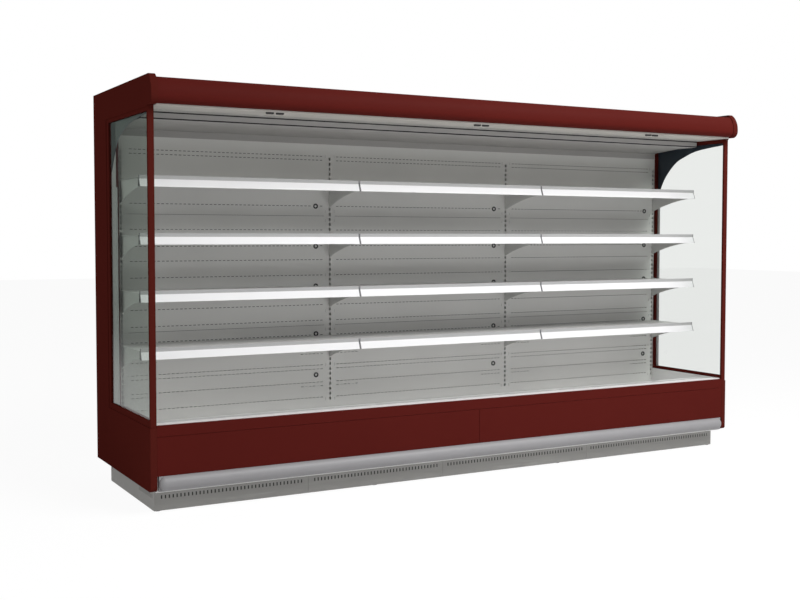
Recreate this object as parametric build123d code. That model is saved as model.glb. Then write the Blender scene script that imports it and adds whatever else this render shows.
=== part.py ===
from build123d import *
import math
import os

# Open multideck display fridge, in millimetres.
# Z is up, X runs along the cabinet and the shopper stands on the -Y side.
# The origin is on the floor, at the middle of the bounding box.
# Depths are measured back from the face of the front panels, which lies at y = FRONT.

# ---- Driving dimensions: whole cabinet --------------------------------------------------------
BAY_LENGTH = 1250.0
BAY_NAMES = ("left", "middle", "right")
TIER_COUNT = 4
BODY_HEIGHT = 2166.0
BODY_DEPTH = 1060.0
END_THICKNESS = 34.0
SHEET = 2.0
FIT_GAP = 0.3

# ---- Plinth -----------------------------------------------------------------------------------
FOOT_HEIGHT = 80.0
FOOT_PAD_RADIUS = 18.0
FOOT_PAD_HEIGHT = 10.0
FOOT_STUD_RADIUS = 8.0
RAIL_WIDTH = 40.0
RAIL_HEIGHT = 30.0
RAIL_WALL = 3.0
PLINTH_SETBACK = 88.0
PLINTH_END_SETBACK = 42.0
PLINTH_REAR_SETBACK = 136.0
PLINTH_FLOOR_GAP = 3.0
PLINTH_TOP_GAP = 2.0
LONG_PLATE = 1030.0
PLINTH_SLOT_WIDTH = 7.0
PLINTH_SLOT_HEIGHT = 19.0
PLINTH_SLOT_PITCH = 20.0
PLINTH_SLOT_DROP = 29.0
PLINTH_SLOT_MARGIN = 34.0
END_PLATE_SLOTS = 12

# ---- Insulated body ---------------------------------------------------------------------------
TANK_FLOOR = 55.0
TANK_FRONT_WALL = 40.0
TANK_END_WALL = 5.0
TANK_LEDGE = 15.0
TANK_LIP_RISE = 6.0
BACK_WALL = 60.0
ROOF = 50.0
ROOF_SETBACK = 30.0
DRAIN_RADIUS = 25.0
DRAIN_BORE_RADIUS = 21.0
DRAIN_LENGTH = 50.0
DRAIN_DEPTH = 500.0

# ---- Front ------------------------------------------------------------------------------------
BUMPER_BOTTOM = 118.0
BUMPER_HEIGHT = 76.0
BUMPER_STAND = 27.0
BUMPER_WALL = 3.0
BUMPER_END_INSET = 9.0
FRONT_PANEL_HEIGHT = 196.0
FRONT_PANEL_DEPTH = 20.0
TOP_RAIL_HEIGHT = 56.0
SEAM = 1.2

# ---- Canopy -----------------------------------------------------------------------------------
FASCIA_RISE_GAP = 16.0
FASCIA_HEIGHT = 127.0
FASCIA_STAND = 76.0
FASCIA_UPPER_RADIUS = 109.0
FASCIA_LOWER_RADIUS = 37.0
FASCIA_FLAT = 10.0
FASCIA_LIP = 6.0
FASCIA_TOP_RETURN = 60.0
CAP_PROUD = 4.0
SOFFIT = 3.0
SOFFIT_DROP = 9.0
SOFFIT_FLANGE = 21.0
SOFFIT_LENGTH = 183.0
HONEYCOMB_DEPTH = 105.0
HONEYCOMB_HEIGHT = 28.0
HONEYCOMB_CELL = 21.0
HONEYCOMB_WALL = 3.0
HONEYCOMB_SECTIONS = 2
CEILING_DROP = 48.0
CEILING_FLAT = 190.0
CEILING_SLOPE_DROP = 18.0
CEILING_SKIRT = 36.0
CEILING_END_GAP = 9.0
LAMP_BASE_WIDTH = 34.0
LAMP_BASE_HEIGHT = 14.0
LAMP_RADIUS = 13.0
LAMP_END_GAP = 40.0
LAMP_DEPTH = 95.0

# ---- End panels and glass ---------------------------------------------------------------------
END_BOTTOM_RISE = 7.0
END_CORNER_RADIUS = 22.0
END_EDGE_RADIUS = 3.0
END_BACKING = 15.0
END_CLADDING = 3.0
POST_SETBACK = 3.0
POST_DEPTH = 15.0
REAR_STILE = 23.5
CLAD_SILL = 437.0
CLAD_HEAD = 2010.0
CLAD_REAR = 790.0
PANE_SILL = 469.0
PANE_HEAD = 1990.0
PANE_REAR = 750.0
PANE_THICKNESS = 10.0

# ---- Display space ----------------------------------------------------------------------------
DECK_RISE = 197.0
DECK_SHEET = 1.5
DECK_GAP = 1.5
RETURN_DUCT = 100.0
GRILLE_SLOT_WIDTH = 5.0
GRILLE_SLOT_PITCH = 11.0
GRILLE_SLOT_MARGIN = 14.0
WALL_DEPTH = 687.5
UPRIGHT_WIDTH = 30.0
UPRIGHT_DEPTH = 32.0
UPRIGHT_WING = 20.0
DECK_TAB_REACH = 25.0
DECK_TAB_HEIGHT = 10.0
SLOT_WIDTH = 12.0
SLOT_HEIGHT = 16.0
SLOT_PITCH = 29.65
SLOT_COUNT = 49
FIRST_SLOT_RISE = 50.0
BACK_SHEET = 1.5
BACK_PANEL_JOINT = 1.5
LOWER_JOINT = 852.0
UPPER_JOINT = 1499.0
LONG_ROWS = (422.0, 513.0, 591.0, 615.0, 795.0, 881.0, 974.0, 1150.0, 1241.0, 1323.0, 1416.0, 1557.0, 1827.0,
             1850.0)
SHORT_ROWS = (491.0, 683.0)
VENT_WIDTH = 15.0
VENT_HEIGHT = 3.0
VENT_PITCH = 25.0
VENT_MARGIN = 35.0
SHORT_ROW_LENGTH = 150.0
HANGING_SLIT_HEIGHTS = (410.0, 615.0, 825.0, 935.0, 1150.0, 1472.0, 1526.0, 1850.0)
HANGING_SLIT_WIDTH = 3.0
HANGING_SLIT_LENGTH = 16.0
HANGING_SLIT_INSET = 14.0
FIXING_HEIGHTS = (557.5, 802.0, 1085.0, 1320.0, 1556.0)
FIXING_RADIUS = 15.0
FIXING_BORE_RADIUS = 7.0
FIXING_THICKNESS = 3.0
FIXING_INSET = 91.0
FIXING_CLEAR = 26.0

# ---- Shelves ----------------------------------------------------------------------------------
SHELF_DEPTH = 388.0
SHELF_WALL_GAP = 3.5
SHELF_FOLD = 25.0
SHELF_SHEET = 1.5
SHELF_SIDE_GAP = 1.0
SHELF_FOLD_INSET = 22.0
LOWEST_SHELF_SLOT = 12
SLOTS_PER_TIER = 10
STRIP_DROP = 46.7
STRIP_FACE_HEIGHT = 39.7
STRIP_RIM = 12.0
STRIP_FOOT = 24.0
STRIP_HEAD = 9.0
STRIP_SHEET = 2.0
BRACKET_SHEET = 3.0
BRACKET_SIDE_GAP = 1.5
BRACKET_REAR_HEIGHT = 126.0
BRACKET_FRONT_HEIGHT = 42.0
BRACKET_BELLY = 14.0
HOOK_DROP = 21.0
HOOK_HEIGHT = 12.0
HOOK_REACH = 8.0
HOOK_SPACING = 2

# ---- Night blinds -----------------------------------------------------------------------------
BLIND_DEPTH = -8.0
ROLLER_RADIUS = 24.0
ROLLER_PIN_RADIUS = 5.0
ROLLER_PIN_LENGTH = 9.0
ROLLER_LIFT = 40.0
BLIND_SIDE_GAP = 25.0
BLIND_SLOT_WIDTH = 30.0
BLIND_BRACKET_SHEET = 4.0
BLIND_BRACKET_MARGIN = 14.0
BAR_WIDTH = 26.0
BAR_HEIGHT = 6.0
BAR_EDGE_RADIUS = 2.0
GRIP_LENGTH = 40.0
GRIP_GAP = 15.0
GRIP_DROP = 10.0
GRIP_WIDTH = 14.0

# ---- Air side ---------------------------------------------------------------------------------
FAN_PLATE_DEPTH = 330.0
FAN_PLATE_FLANGE = 20.0
FAN_HOLE_RADIUS = 84.0
FAN_TIP_GAP = 6.0
FAN_HUB_RADIUS = 26.0
FAN_HUB_LENGTH = 24.0
FAN_BLADES = 5
FAN_BLADE_WIDTH = 40.0
FAN_BLADE_SHEET = 2.5
FAN_BLADE_PITCH = 32.0
MOTOR_RADIUS = 34.0
MOTOR_LENGTH = 55.0
MOTOR_STAND_OFF = 13.0
MOTOR_ARM = 9.0
SHAFT_RADIUS = 4.0
SHAFT_LENGTH = 20.0
COIL_DEPTH = 720.0
COIL_THICKNESS = 220.0
COIL_HEIGHT = 520.0
COIL_END_GAP = 150.0
COIL_FIN = 1.5
COIL_FIN_COUNT = 48
COIL_TUBE_RADIUS = 8.0
COIL_TUBE_ROWS = 6
COIL_TUBE_COLUMNS = 3

# ---- Worked out from the driving dimensions -----------------------------------------------------
BAY_COUNT = len(BAY_NAMES)
RUN = BAY_COUNT * BAY_LENGTH
HALF_RUN = RUN / 2
CANOPY_STAND = FASCIA_STAND + CAP_PROUD
FRONT = CANOPY_STAND - (BODY_DEPTH + CANOPY_STAND) / 2
BODY_BOTTOM = FOOT_HEIGHT + RAIL_HEIGHT
TANK_FLOOR_TOP = BODY_BOTTOM + TANK_FLOOR
DECK_TOP = TANK_FLOOR_TOP + DECK_RISE
FRONT_PANEL_BOTTOM = BUMPER_BOTTOM + BUMPER_HEIGHT
TOP_RAIL_BOTTOM = FRONT_PANEL_BOTTOM + FRONT_PANEL_HEIGHT
FRONT_TOP = TOP_RAIL_BOTTOM + TOP_RAIL_HEIGHT
TANK_LIP_TOP = FRONT_TOP + TANK_LIP_RISE
TANK_INNER_FRONT = FRONT_PANEL_DEPTH + TANK_FRONT_WALL
RISER_DEPTH = TANK_INNER_FRONT + RETURN_DUCT
GRILLE_TOP = FRONT_TOP
FASCIA_TOP = BODY_HEIGHT - FASCIA_RISE_GAP
ROOF_TOP = FASCIA_TOP - SHEET
ROOF_BOTTOM = ROOF_TOP - ROOF
CANOPY_BOTTOM = FASCIA_TOP - FASCIA_HEIGHT
SOFFIT_BOTTOM = CANOPY_BOTTOM - SOFFIT_DROP
SOFFIT_TOP = SOFFIT_BOTTOM + SOFFIT
SOFFIT_FRONT = FASCIA_LOWER_RADIUS - FASCIA_STAND + FASCIA_LIP
SOFFIT_REAR = SOFFIT_FRONT + SOFFIT_LENGTH
CEILING_FRONT = SOFFIT_REAR + HONEYCOMB_DEPTH
CEILING_BOTTOM = CANOPY_BOTTOM - CEILING_DROP
CEILING_CORNER = CEILING_BOTTOM - CEILING_SLOPE_DROP
BACK_PANEL_TOP = CEILING_CORNER - CEILING_SKIRT
FASCIA_LOWER_CENTRE = CANOPY_BOTTOM + FASCIA_LOWER_RADIUS
FASCIA_UPPER_CENTRE = FASCIA_LOWER_CENTRE + FASCIA_FLAT
FIRST_SLOT = DECK_TOP + FIRST_SLOT_RISE
SHELF_REAR = WALL_DEPTH - SHELF_WALL_GAP
SHELF_FRONT = SHELF_REAR - SHELF_DEPTH
ROLLER_DEPTH = BLIND_DEPTH + ROLLER_RADIUS
ROLLER_HEIGHT = SOFFIT_TOP + ROLLER_LIFT
BAR_TOP = SOFFIT_BOTTOM + BAR_HEIGHT
FAN_HEIGHT = (TANK_FLOOR_TOP + DECK_TOP) / 2


# ---- Helpers ------------------------------------------------------------------------------------
def block(x0, x1, depth0, depth1, z0, z1):
    """Box between two planes each way, with its depths measured behind the front panels' face."""
    size = (x1 - x0, depth1 - depth0, z1 - z0)
    return Pos(x0, FRONT + depth0, z0) * Box(*size, align=(Align.MIN, Align.MIN, Align.MIN))


def side_profile(points, x0, x1):
    """Solid between x0 and x1 with the polygon through (depth, height) points as its section."""
    return side_face(Polyline(*points, close=True), x0, x1)


def side_face(outline, x0, x1):
    """Solid between x0 and x1 whose section is a closed outline drawn as (depth, height)."""
    section = Plane(origin=(x0, FRONT, 0), x_dir=(0, 1, 0), z_dir=(1, 0, 0)) * make_face(outline)
    return extrude(section, amount=x1 - x0)


def slotted_sheet(x0, x1, z0, z1, depth, thickness, slots):
    """Upright sheet facing the shopper, with slots given as (x, z, width, height)."""
    sheet = Polyline((x0, z0), (x1, z0), (x1, z1), (x0, z1), close=True)
    outer = make_face(sheet)
    holes = [slot_wire(*slot) for slot in slots]
    face = Face(outer.wire(), holes)
    plane = Plane(origin=(0, FRONT + depth, 0), x_dir=(1, 0, 0), z_dir=(0, -1, 0))
    return extrude(plane * face, amount=-thickness)


def slot_wire(x, z, width, height):
    return Wire.make_polygon([
        Vector(x - width / 2, z - height / 2),
        Vector(x + width / 2, z - height / 2),
        Vector(x + width / 2, z + height / 2),
        Vector(x - width / 2, z + height / 2),
    ])


def centred_row(x0, x1, pitch, margin):
    """Evenly pitched centres that fit between x0 and x1 with at least the margin at both ends."""
    count = int((x1 - x0 - 2 * margin) / pitch) + 1
    middle = (x0 + x1) / 2
    return [middle + (i - (count - 1) / 2) * pitch for i in range(count)]


def bay_ends(bay):
    start = -HALF_RUN + bay * BAY_LENGTH
    return start, start + BAY_LENGTH


def bay_middle(bay):
    return sum(bay_ends(bay)) / 2


def upright_centres():
    """One upright on each line between bays, and one inside each end panel."""
    inner = [bay_ends(bay)[0] for bay in range(1, BAY_COUNT)]
    edge = HALF_RUN - UPRIGHT_WIDTH / 2
    return [-edge] + inner + [edge]


def shelf_level(tier):
    """Height of a shelf's top face, with tier 1 as the highest."""
    slot = LOWEST_SHELF_SLOT + SLOTS_PER_TIER * (TIER_COUNT - tier)
    return FIRST_SLOT + slot * SLOT_PITCH + HOOK_DROP + SHELF_SHEET


def mirrored(shape):
    return mirror(shape, about=Plane.YZ)


# ---- Plinth -------------------------------------------------------------------------------------
def frame_lines():
    """X positions of the plinth frame's cross tubes, with the end tubes inside the end plates."""
    edge = HALF_RUN + END_THICKNESS - PLINTH_END_SETBACK - SHEET - RAIL_WIDTH / 2
    inner = [bay_ends(bay)[0] for bay in range(1, BAY_COUNT)]
    return [-edge] + inner + [edge]


def rail_depths():
    """Front faces of the plinth frame's front and rear rails."""
    front = PLINTH_SETBACK + SHEET
    rear = BODY_DEPTH - PLINTH_REAR_SETBACK - RAIL_WIDTH
    return front, rear


def base_frame():
    front, rear = rail_depths()
    lines = frame_lines()
    x0 = lines[0] - RAIL_WIDTH / 2
    x1 = lines[-1] + RAIL_WIDTH / 2
    tubes = []
    for depth in (front, rear):
        tube = block(x0, x1, depth, depth + RAIL_WIDTH, FOOT_HEIGHT, BODY_BOTTOM)
        bore = block(x0, x1, depth + RAIL_WALL, depth + RAIL_WIDTH - RAIL_WALL,
                     FOOT_HEIGHT + RAIL_WALL, BODY_BOTTOM - RAIL_WALL)
        tubes.append(tube - bore)
    for x in lines:
        tube = block(x - RAIL_WIDTH / 2, x + RAIL_WIDTH / 2, front + RAIL_WIDTH, rear,
                     FOOT_HEIGHT, BODY_BOTTOM)
        bore = block(x - RAIL_WIDTH / 2 + RAIL_WALL, x + RAIL_WIDTH / 2 - RAIL_WALL,
                     front + RAIL_WIDTH, rear, FOOT_HEIGHT + RAIL_WALL, BODY_BOTTOM - RAIL_WALL)
        tubes.append(tube - bore)
    return tubes


def levelling_feet():
    feet = []
    for x in frame_lines():
        for depth in rail_depths():
            foot = Cylinder(FOOT_PAD_RADIUS, FOOT_PAD_HEIGHT, align=(Align.CENTER, Align.CENTER, Align.MIN))
            foot += Cylinder(FOOT_STUD_RADIUS, FOOT_HEIGHT, align=(Align.CENTER, Align.CENTER, Align.MIN))
            feet.append(Pos(x, FRONT + depth + RAIL_WIDTH / 2, 0) * foot)
    return feet


def plinth_plates():
    """Front kick plates, two short and two long, and one plate along each end."""
    x1 = HALF_RUN + END_THICKNESS - PLINTH_END_SETBACK
    z0 = PLINTH_FLOOR_GAP
    z1 = BODY_BOTTOM - PLINTH_TOP_GAP
    slot_z = BODY_BOTTOM - PLINTH_SLOT_DROP - PLINTH_SLOT_HEIGHT / 2
    edges = [-x1, -LONG_PLATE, x1 - 2 * LONG_PLATE, x1 - LONG_PLATE, x1]
    plates = []
    for left, right in zip(edges, edges[1:]):
        centres = centred_row(left, right, PLINTH_SLOT_PITCH, PLINTH_SLOT_MARGIN)
        slots = [(x, slot_z, PLINTH_SLOT_WIDTH, PLINTH_SLOT_HEIGHT) for x in centres]
        plates.append(slotted_sheet(left + SEAM / 2, right - SEAM / 2, z0, z1, PLINTH_SETBACK, SHEET, slots))
    rear = BODY_DEPTH - PLINTH_REAR_SETBACK
    end_plate = block(x1 - SHEET, x1, PLINTH_SETBACK + SHEET, rear, z0, z1)
    for i in range(END_PLATE_SLOTS):
        depth = PLINTH_SETBACK + PLINTH_SLOT_MARGIN + i * PLINTH_SLOT_PITCH
        end_plate -= block(x1 - SHEET, x1, depth, depth + PLINTH_SLOT_WIDTH,
                           slot_z - PLINTH_SLOT_HEIGHT / 2, slot_z + PLINTH_SLOT_HEIGHT / 2)
    return plates + [end_plate, mirrored(end_plate)]


# ---- Insulated body -----------------------------------------------------------------------------
def insulated_tank():
    """Trough under the deck: floor, front wall with its ledge, low end walls and a drain spigot."""
    rear = BODY_DEPTH - BACK_WALL
    front = FRONT_PANEL_DEPTH
    ledge = TANK_INNER_FRONT + TANK_LEDGE
    section = [
        (front, BODY_BOTTOM), (rear, BODY_BOTTOM), (rear, TANK_FLOOR_TOP), (ledge, TANK_FLOOR_TOP),
        (ledge, GRILLE_TOP - DECK_SHEET), (TANK_INNER_FRONT, GRILLE_TOP - DECK_SHEET),
        (TANK_INNER_FRONT, TANK_LIP_TOP), (front, TANK_LIP_TOP),
    ]
    tank = side_profile(section, -HALF_RUN, HALF_RUN)
    end_wall = block(HALF_RUN - TANK_END_WALL, HALF_RUN, TANK_INNER_FRONT, WALL_DEPTH,
                     TANK_FLOOR_TOP, TANK_LIP_TOP)
    tank = tank + end_wall + mirrored(end_wall)
    spigot = Cylinder(DRAIN_RADIUS, DRAIN_LENGTH, align=(Align.CENTER, Align.CENTER, Align.MAX))
    tank += Pos(0, FRONT + DRAIN_DEPTH, BODY_BOTTOM) * spigot
    drain_height = DRAIN_LENGTH + TANK_FLOOR
    bore = Cylinder(DRAIN_BORE_RADIUS, drain_height, align=(Align.CENTER, Align.CENTER, Align.MAX))
    return tank - Pos(0, FRONT + DRAIN_DEPTH, TANK_FLOOR_TOP) * bore


def insulated_back_wall():
    return block(-HALF_RUN, HALF_RUN, BODY_DEPTH - BACK_WALL, BODY_DEPTH, BODY_BOTTOM, ROOF_BOTTOM)


def insulated_roof():
    return block(-HALF_RUN, HALF_RUN, ROOF_SETBACK, BODY_DEPTH, ROOF_BOTTOM, ROOF_TOP)


# ---- Front --------------------------------------------------------------------------------------
def front_pan(x0, x1, z0, z1):
    """Folded sheet pan, open at the back, with a softened face."""
    pan = block(x0, x1, 0, FRONT_PANEL_DEPTH, z0, z1)
    face_edges = pan.faces().sort_by(Axis.Y)[0].edges()
    pan = chamfer(face_edges, SHEET / 2)
    return pan - block(x0 + SHEET, x1 - SHEET, SHEET, FRONT_PANEL_DEPTH, z0 + SHEET, z1 - SHEET)


def front_panels():
    z1 = TOP_RAIL_BOTTOM - SEAM
    left = front_pan(-HALF_RUN, -SEAM / 2, FRONT_PANEL_BOTTOM, z1)
    return [left, mirrored(left)]


def front_top_rail():
    return front_pan(-HALF_RUN, HALF_RUN, TOP_RAIL_BOTTOM, FRONT_TOP)


def bumper_outline(wall):
    """Half-round outline of the bumper, drawn inside the outer one by the wall."""
    low = BUMPER_BOTTOM + wall
    high = FRONT_PANEL_BOTTOM - wall
    rear = FRONT_PANEL_DEPTH - wall
    nose = wall - BUMPER_STAND
    bow = ThreePointArc((0, low), (nose, (low + high) / 2), (0, high))
    return Curve() + [bow, Polyline((0, high), (rear, high), (rear, low), (0, low))]


def bumper_rail():
    """Hollow half-round extrusion, with a rounded cap turned on each end."""
    x1 = HALF_RUN - BUMPER_END_INSET - BUMPER_STAND
    rail = side_face(bumper_outline(0), -x1, x1) - side_face(bumper_outline(BUMPER_WALL), -x1, x1)
    middle = (BUMPER_BOTTOM + FRONT_PANEL_BOTTOM) / 2
    bow = ThreePointArc((0, BUMPER_BOTTOM), (BUMPER_STAND, middle), (0, FRONT_PANEL_BOTTOM))
    half = make_face(Curve() + [bow, Line((0, FRONT_PANEL_BOTTOM), (0, BUMPER_BOTTOM))])
    turned = revolve(Plane.XZ * half, axis=Axis.Z, revolution_arc=-90)
    cap = Pos(x1, FRONT, 0) * turned
    base = block(x1, x1 + BUMPER_STAND, 0, FRONT_PANEL_DEPTH, BUMPER_BOTTOM, FRONT_PANEL_BOTTOM)
    cap += base
    return [rail, cap, mirrored(cap)]


# ---- Canopy -------------------------------------------------------------------------------------
def canopy_bow(grow, top):
    """Front of the canopy from its underside up to a height: a quarter bend, a flat and a long bend."""
    lower_radius = FASCIA_LOWER_RADIUS + grow
    upper_radius = FASCIA_UPPER_RADIUS + grow
    nose = -FASCIA_STAND - grow
    lower_centre = nose + lower_radius
    upper_centre = nose + upper_radius
    mid_lower = math.radians(225)
    bend = ThreePointArc(
        (lower_centre, FASCIA_LOWER_CENTRE - lower_radius),
        (lower_centre + lower_radius * math.cos(mid_lower), FASCIA_LOWER_CENTRE + lower_radius * math.sin(mid_lower)),
        (nose, FASCIA_LOWER_CENTRE),
    )
    flat = Line((nose, FASCIA_LOWER_CENTRE), (nose, FASCIA_UPPER_CENTRE))
    climb = math.asin((top - FASCIA_UPPER_CENTRE) / upper_radius)
    mid_upper = math.pi - climb / 2
    end = (upper_centre - upper_radius * math.cos(climb), top)
    bow = ThreePointArc(
        (nose, FASCIA_UPPER_CENTRE),
        (upper_centre + upper_radius * math.cos(mid_upper), FASCIA_UPPER_CENTRE + upper_radius * math.sin(mid_upper)),
        end,
    )
    return [bend, flat, bow], (lower_centre, FASCIA_LOWER_CENTRE - lower_radius), end


def canopy_fascia():
    """Bulged sheet with a short lip under it and a return over the roof."""
    outer, start, end = canopy_bow(0, FASCIA_TOP)
    inner, inner_start, inner_end = canopy_bow(-SHEET, FASCIA_TOP - SHEET)
    lip = start[0] + FASCIA_LIP
    rear = FASCIA_TOP_RETURN
    foot = Polyline(inner_start, (lip, inner_start[1]), (lip, start[1]), start)
    back = Polyline(end, (rear, FASCIA_TOP), (rear, FASCIA_TOP - SHEET), inner_end)
    outline = Curve() + outer + inner + [foot, back]
    return side_face(outline, -HALF_RUN, HALF_RUN)


def canopy_soffit():
    """White cover under the canopy: a flanged strip behind the fascia's lip, a rear plate, and bridges
    that leave one slot per bay for the night blind and its bar."""
    slot_front = BLIND_DEPTH - BLIND_SLOT_WIDTH / 2
    slot_rear = BLIND_DEPTH + BLIND_SLOT_WIDTH / 2
    front = block(-HALF_RUN, HALF_RUN, SOFFIT_FRONT, slot_front, SOFFIT_BOTTOM, SOFFIT_TOP)
    front += block(-HALF_RUN, HALF_RUN, SOFFIT_FRONT, SOFFIT_FRONT + SOFFIT, SOFFIT_BOTTOM,
                   SOFFIT_BOTTOM + SOFFIT_FLANGE)
    solids = [front, block(-HALF_RUN, HALF_RUN, slot_rear, SOFFIT_REAR, SOFFIT_BOTTOM, SOFFIT_TOP)]
    for bay in range(BAY_COUNT + 1):
        x = -HALF_RUN + bay * BAY_LENGTH
        solids.append(block(max(x - BLIND_SIDE_GAP, -HALF_RUN), min(x + BLIND_SIDE_GAP, HALF_RUN),
                            slot_front, slot_rear, SOFFIT_BOTTOM, SOFFIT_TOP))
    return solids


def lamp_tubes():
    """One lamp per bay, lying on the soffit inside the canopy."""
    lamps = []
    for bay in range(BAY_COUNT):
        x0, x1 = bay_ends(bay)
        base_top = SOFFIT_TOP + LAMP_BASE_HEIGHT
        half = LAMP_BASE_WIDTH / 2
        base = block(x0 + LAMP_END_GAP, x1 - LAMP_END_GAP, LAMP_DEPTH - half, LAMP_DEPTH + half,
                     SOFFIT_TOP, base_top)
        bow = ThreePointArc((LAMP_DEPTH - LAMP_RADIUS, base_top), (LAMP_DEPTH, base_top + LAMP_RADIUS),
                            (LAMP_DEPTH + LAMP_RADIUS, base_top))
        chord = Line((LAMP_DEPTH + LAMP_RADIUS, base_top), (LAMP_DEPTH - LAMP_RADIUS, base_top))
        tube = side_face(Curve() + [bow, chord], x0 + LAMP_END_GAP, x1 - LAMP_END_GAP)
        lamps.append(base + tube)
    return lamps


def honeycomb_section(x0, x1):
    """One length of the honeycomb, cut through with square cells."""
    outline = Polyline((x0, SOFFIT_REAR), (x1, SOFFIT_REAR), (x1, CEILING_FRONT), (x0, CEILING_FRONT), close=True)
    cell = HONEYCOMB_CELL - HONEYCOMB_WALL
    holes = []
    for depth in centred_row(SOFFIT_REAR, CEILING_FRONT, HONEYCOMB_CELL, HONEYCOMB_CELL / 2):
        for x in centred_row(x0, x1, HONEYCOMB_CELL, HONEYCOMB_CELL / 2):
            holes.append(slot_wire(x, depth, cell, cell))
    face = Face(make_face(outline).wire(), holes)
    return extrude(Pos(0, FRONT, SOFFIT_BOTTOM) * face, amount=HONEYCOMB_HEIGHT)


def air_outlet_honeycomb():
    """Cellular strip that straightens the air curtain, in equal lengths end to end."""
    length = BAY_LENGTH / HONEYCOMB_SECTIONS
    starts = [-HALF_RUN + i * length for i in range(BAY_COUNT * HONEYCOMB_SECTIONS)]
    return [honeycomb_section(start, start + length) for start in starts]


def air_duct_ceiling():
    """Bent sheet: a lip behind the honeycomb, a flat, a slope and a skirt down to the back panels."""
    lip_top = SOFFIT_BOTTOM + HONEYCOMB_HEIGHT
    flat_end = CEILING_FRONT + CEILING_FLAT
    skirt_face = WALL_DEPTH - SHEET
    slope = math.atan2(CEILING_SLOPE_DROP, skirt_face - flat_end)
    rear_top = CEILING_CORNER + SHEET / math.cos(slope) - SHEET * math.tan(slope)
    section = [
        (CEILING_FRONT, lip_top), (CEILING_FRONT, CEILING_BOTTOM), (flat_end, CEILING_BOTTOM),
        (skirt_face, CEILING_CORNER), (skirt_face, BACK_PANEL_TOP), (WALL_DEPTH, BACK_PANEL_TOP),
        (WALL_DEPTH, rear_top),
        (flat_end + SHEET * math.tan(slope / 2), CEILING_BOTTOM + SHEET),
        (CEILING_FRONT + SHEET, CEILING_BOTTOM + SHEET), (CEILING_FRONT + SHEET, lip_top),
    ]
    return side_profile(section, -HALF_RUN + CEILING_END_GAP, HALF_RUN - CEILING_END_GAP)


# ---- End panels ---------------------------------------------------------------------------------
def end_outline():
    """Side view of an end panel, with the canopy's bow at its upper front."""
    bow, start, end = canopy_bow(CAP_PROUD, BODY_HEIGHT)
    low = BODY_BOTTOM + END_BOTTOM_RISE
    bend = math.radians(225)
    corner = ThreePointArc(
        (0, low + END_CORNER_RADIUS),
        (END_CORNER_RADIUS * (1 + math.cos(bend)), low + END_CORNER_RADIUS * (1 + math.sin(bend))),
        (END_CORNER_RADIUS, low),
    )
    front = Polyline(start, (POST_SETBACK, start[1]), (POST_SETBACK, CLAD_SILL), (0, CLAD_SILL),
                     (0, low + END_CORNER_RADIUS))
    back = Polyline((END_CORNER_RADIUS, low), (BODY_DEPTH, low), (BODY_DEPTH, BODY_HEIGHT), end)
    return Curve() + bow + [front, corner, back]


def rounded_edge(x_face, depth_face, z0, z1):
    """What is cut off to round an upright outer edge of the right end panel."""
    radius = END_EDGE_RADIUS
    corner = block(x_face - radius, x_face, depth_face, depth_face + radius, z0, z1)
    centre = Pos(x_face - radius, FRONT + depth_face + radius, z0)
    return corner - centre * Cylinder(radius, z1 - z0, align=(Align.CENTER, Align.CENTER, Align.MIN))


def end_panel():
    """Right end panel: a window through the whole panel, wider behind the glass, and a recess
    in the outer face that leaves the window frame and its front post set in."""
    x0 = HALF_RUN
    x1 = HALF_RUN + END_THICKNESS
    panel = side_face(end_outline(), x0, x1)
    post_rear = POST_SETBACK + POST_DEPTH
    panel -= block(x0, x0 + END_BACKING, post_rear, WALL_DEPTH - REAR_STILE, PANE_SILL, PANE_HEAD)
    panel -= block(x0 + END_BACKING, x1, post_rear, PANE_REAR, PANE_SILL, PANE_HEAD)
    panel -= block(x1 - END_CLADDING, x1, 0, CLAD_REAR, CLAD_SILL, CLAD_HEAD)
    panel -= rounded_edge(x1, 0, BODY_BOTTOM + END_BOTTOM_RISE, CLAD_SILL)
    panel -= rounded_edge(x1 - END_CLADDING, POST_SETBACK, CLAD_SILL, CLAD_HEAD)
    return panel


def end_panel_right():
    return end_panel()


def end_panel_left():
    return mirrored(end_panel())


def end_glass_panes():
    x0 = HALF_RUN + END_BACKING
    post_rear = POST_SETBACK + POST_DEPTH
    pane = block(x0, x0 + PANE_THICKNESS, post_rear + FIT_GAP, PANE_REAR - FIT_GAP,
                 PANE_SILL + FIT_GAP, PANE_HEAD - FIT_GAP)
    return [pane, mirrored(pane)]


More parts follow.
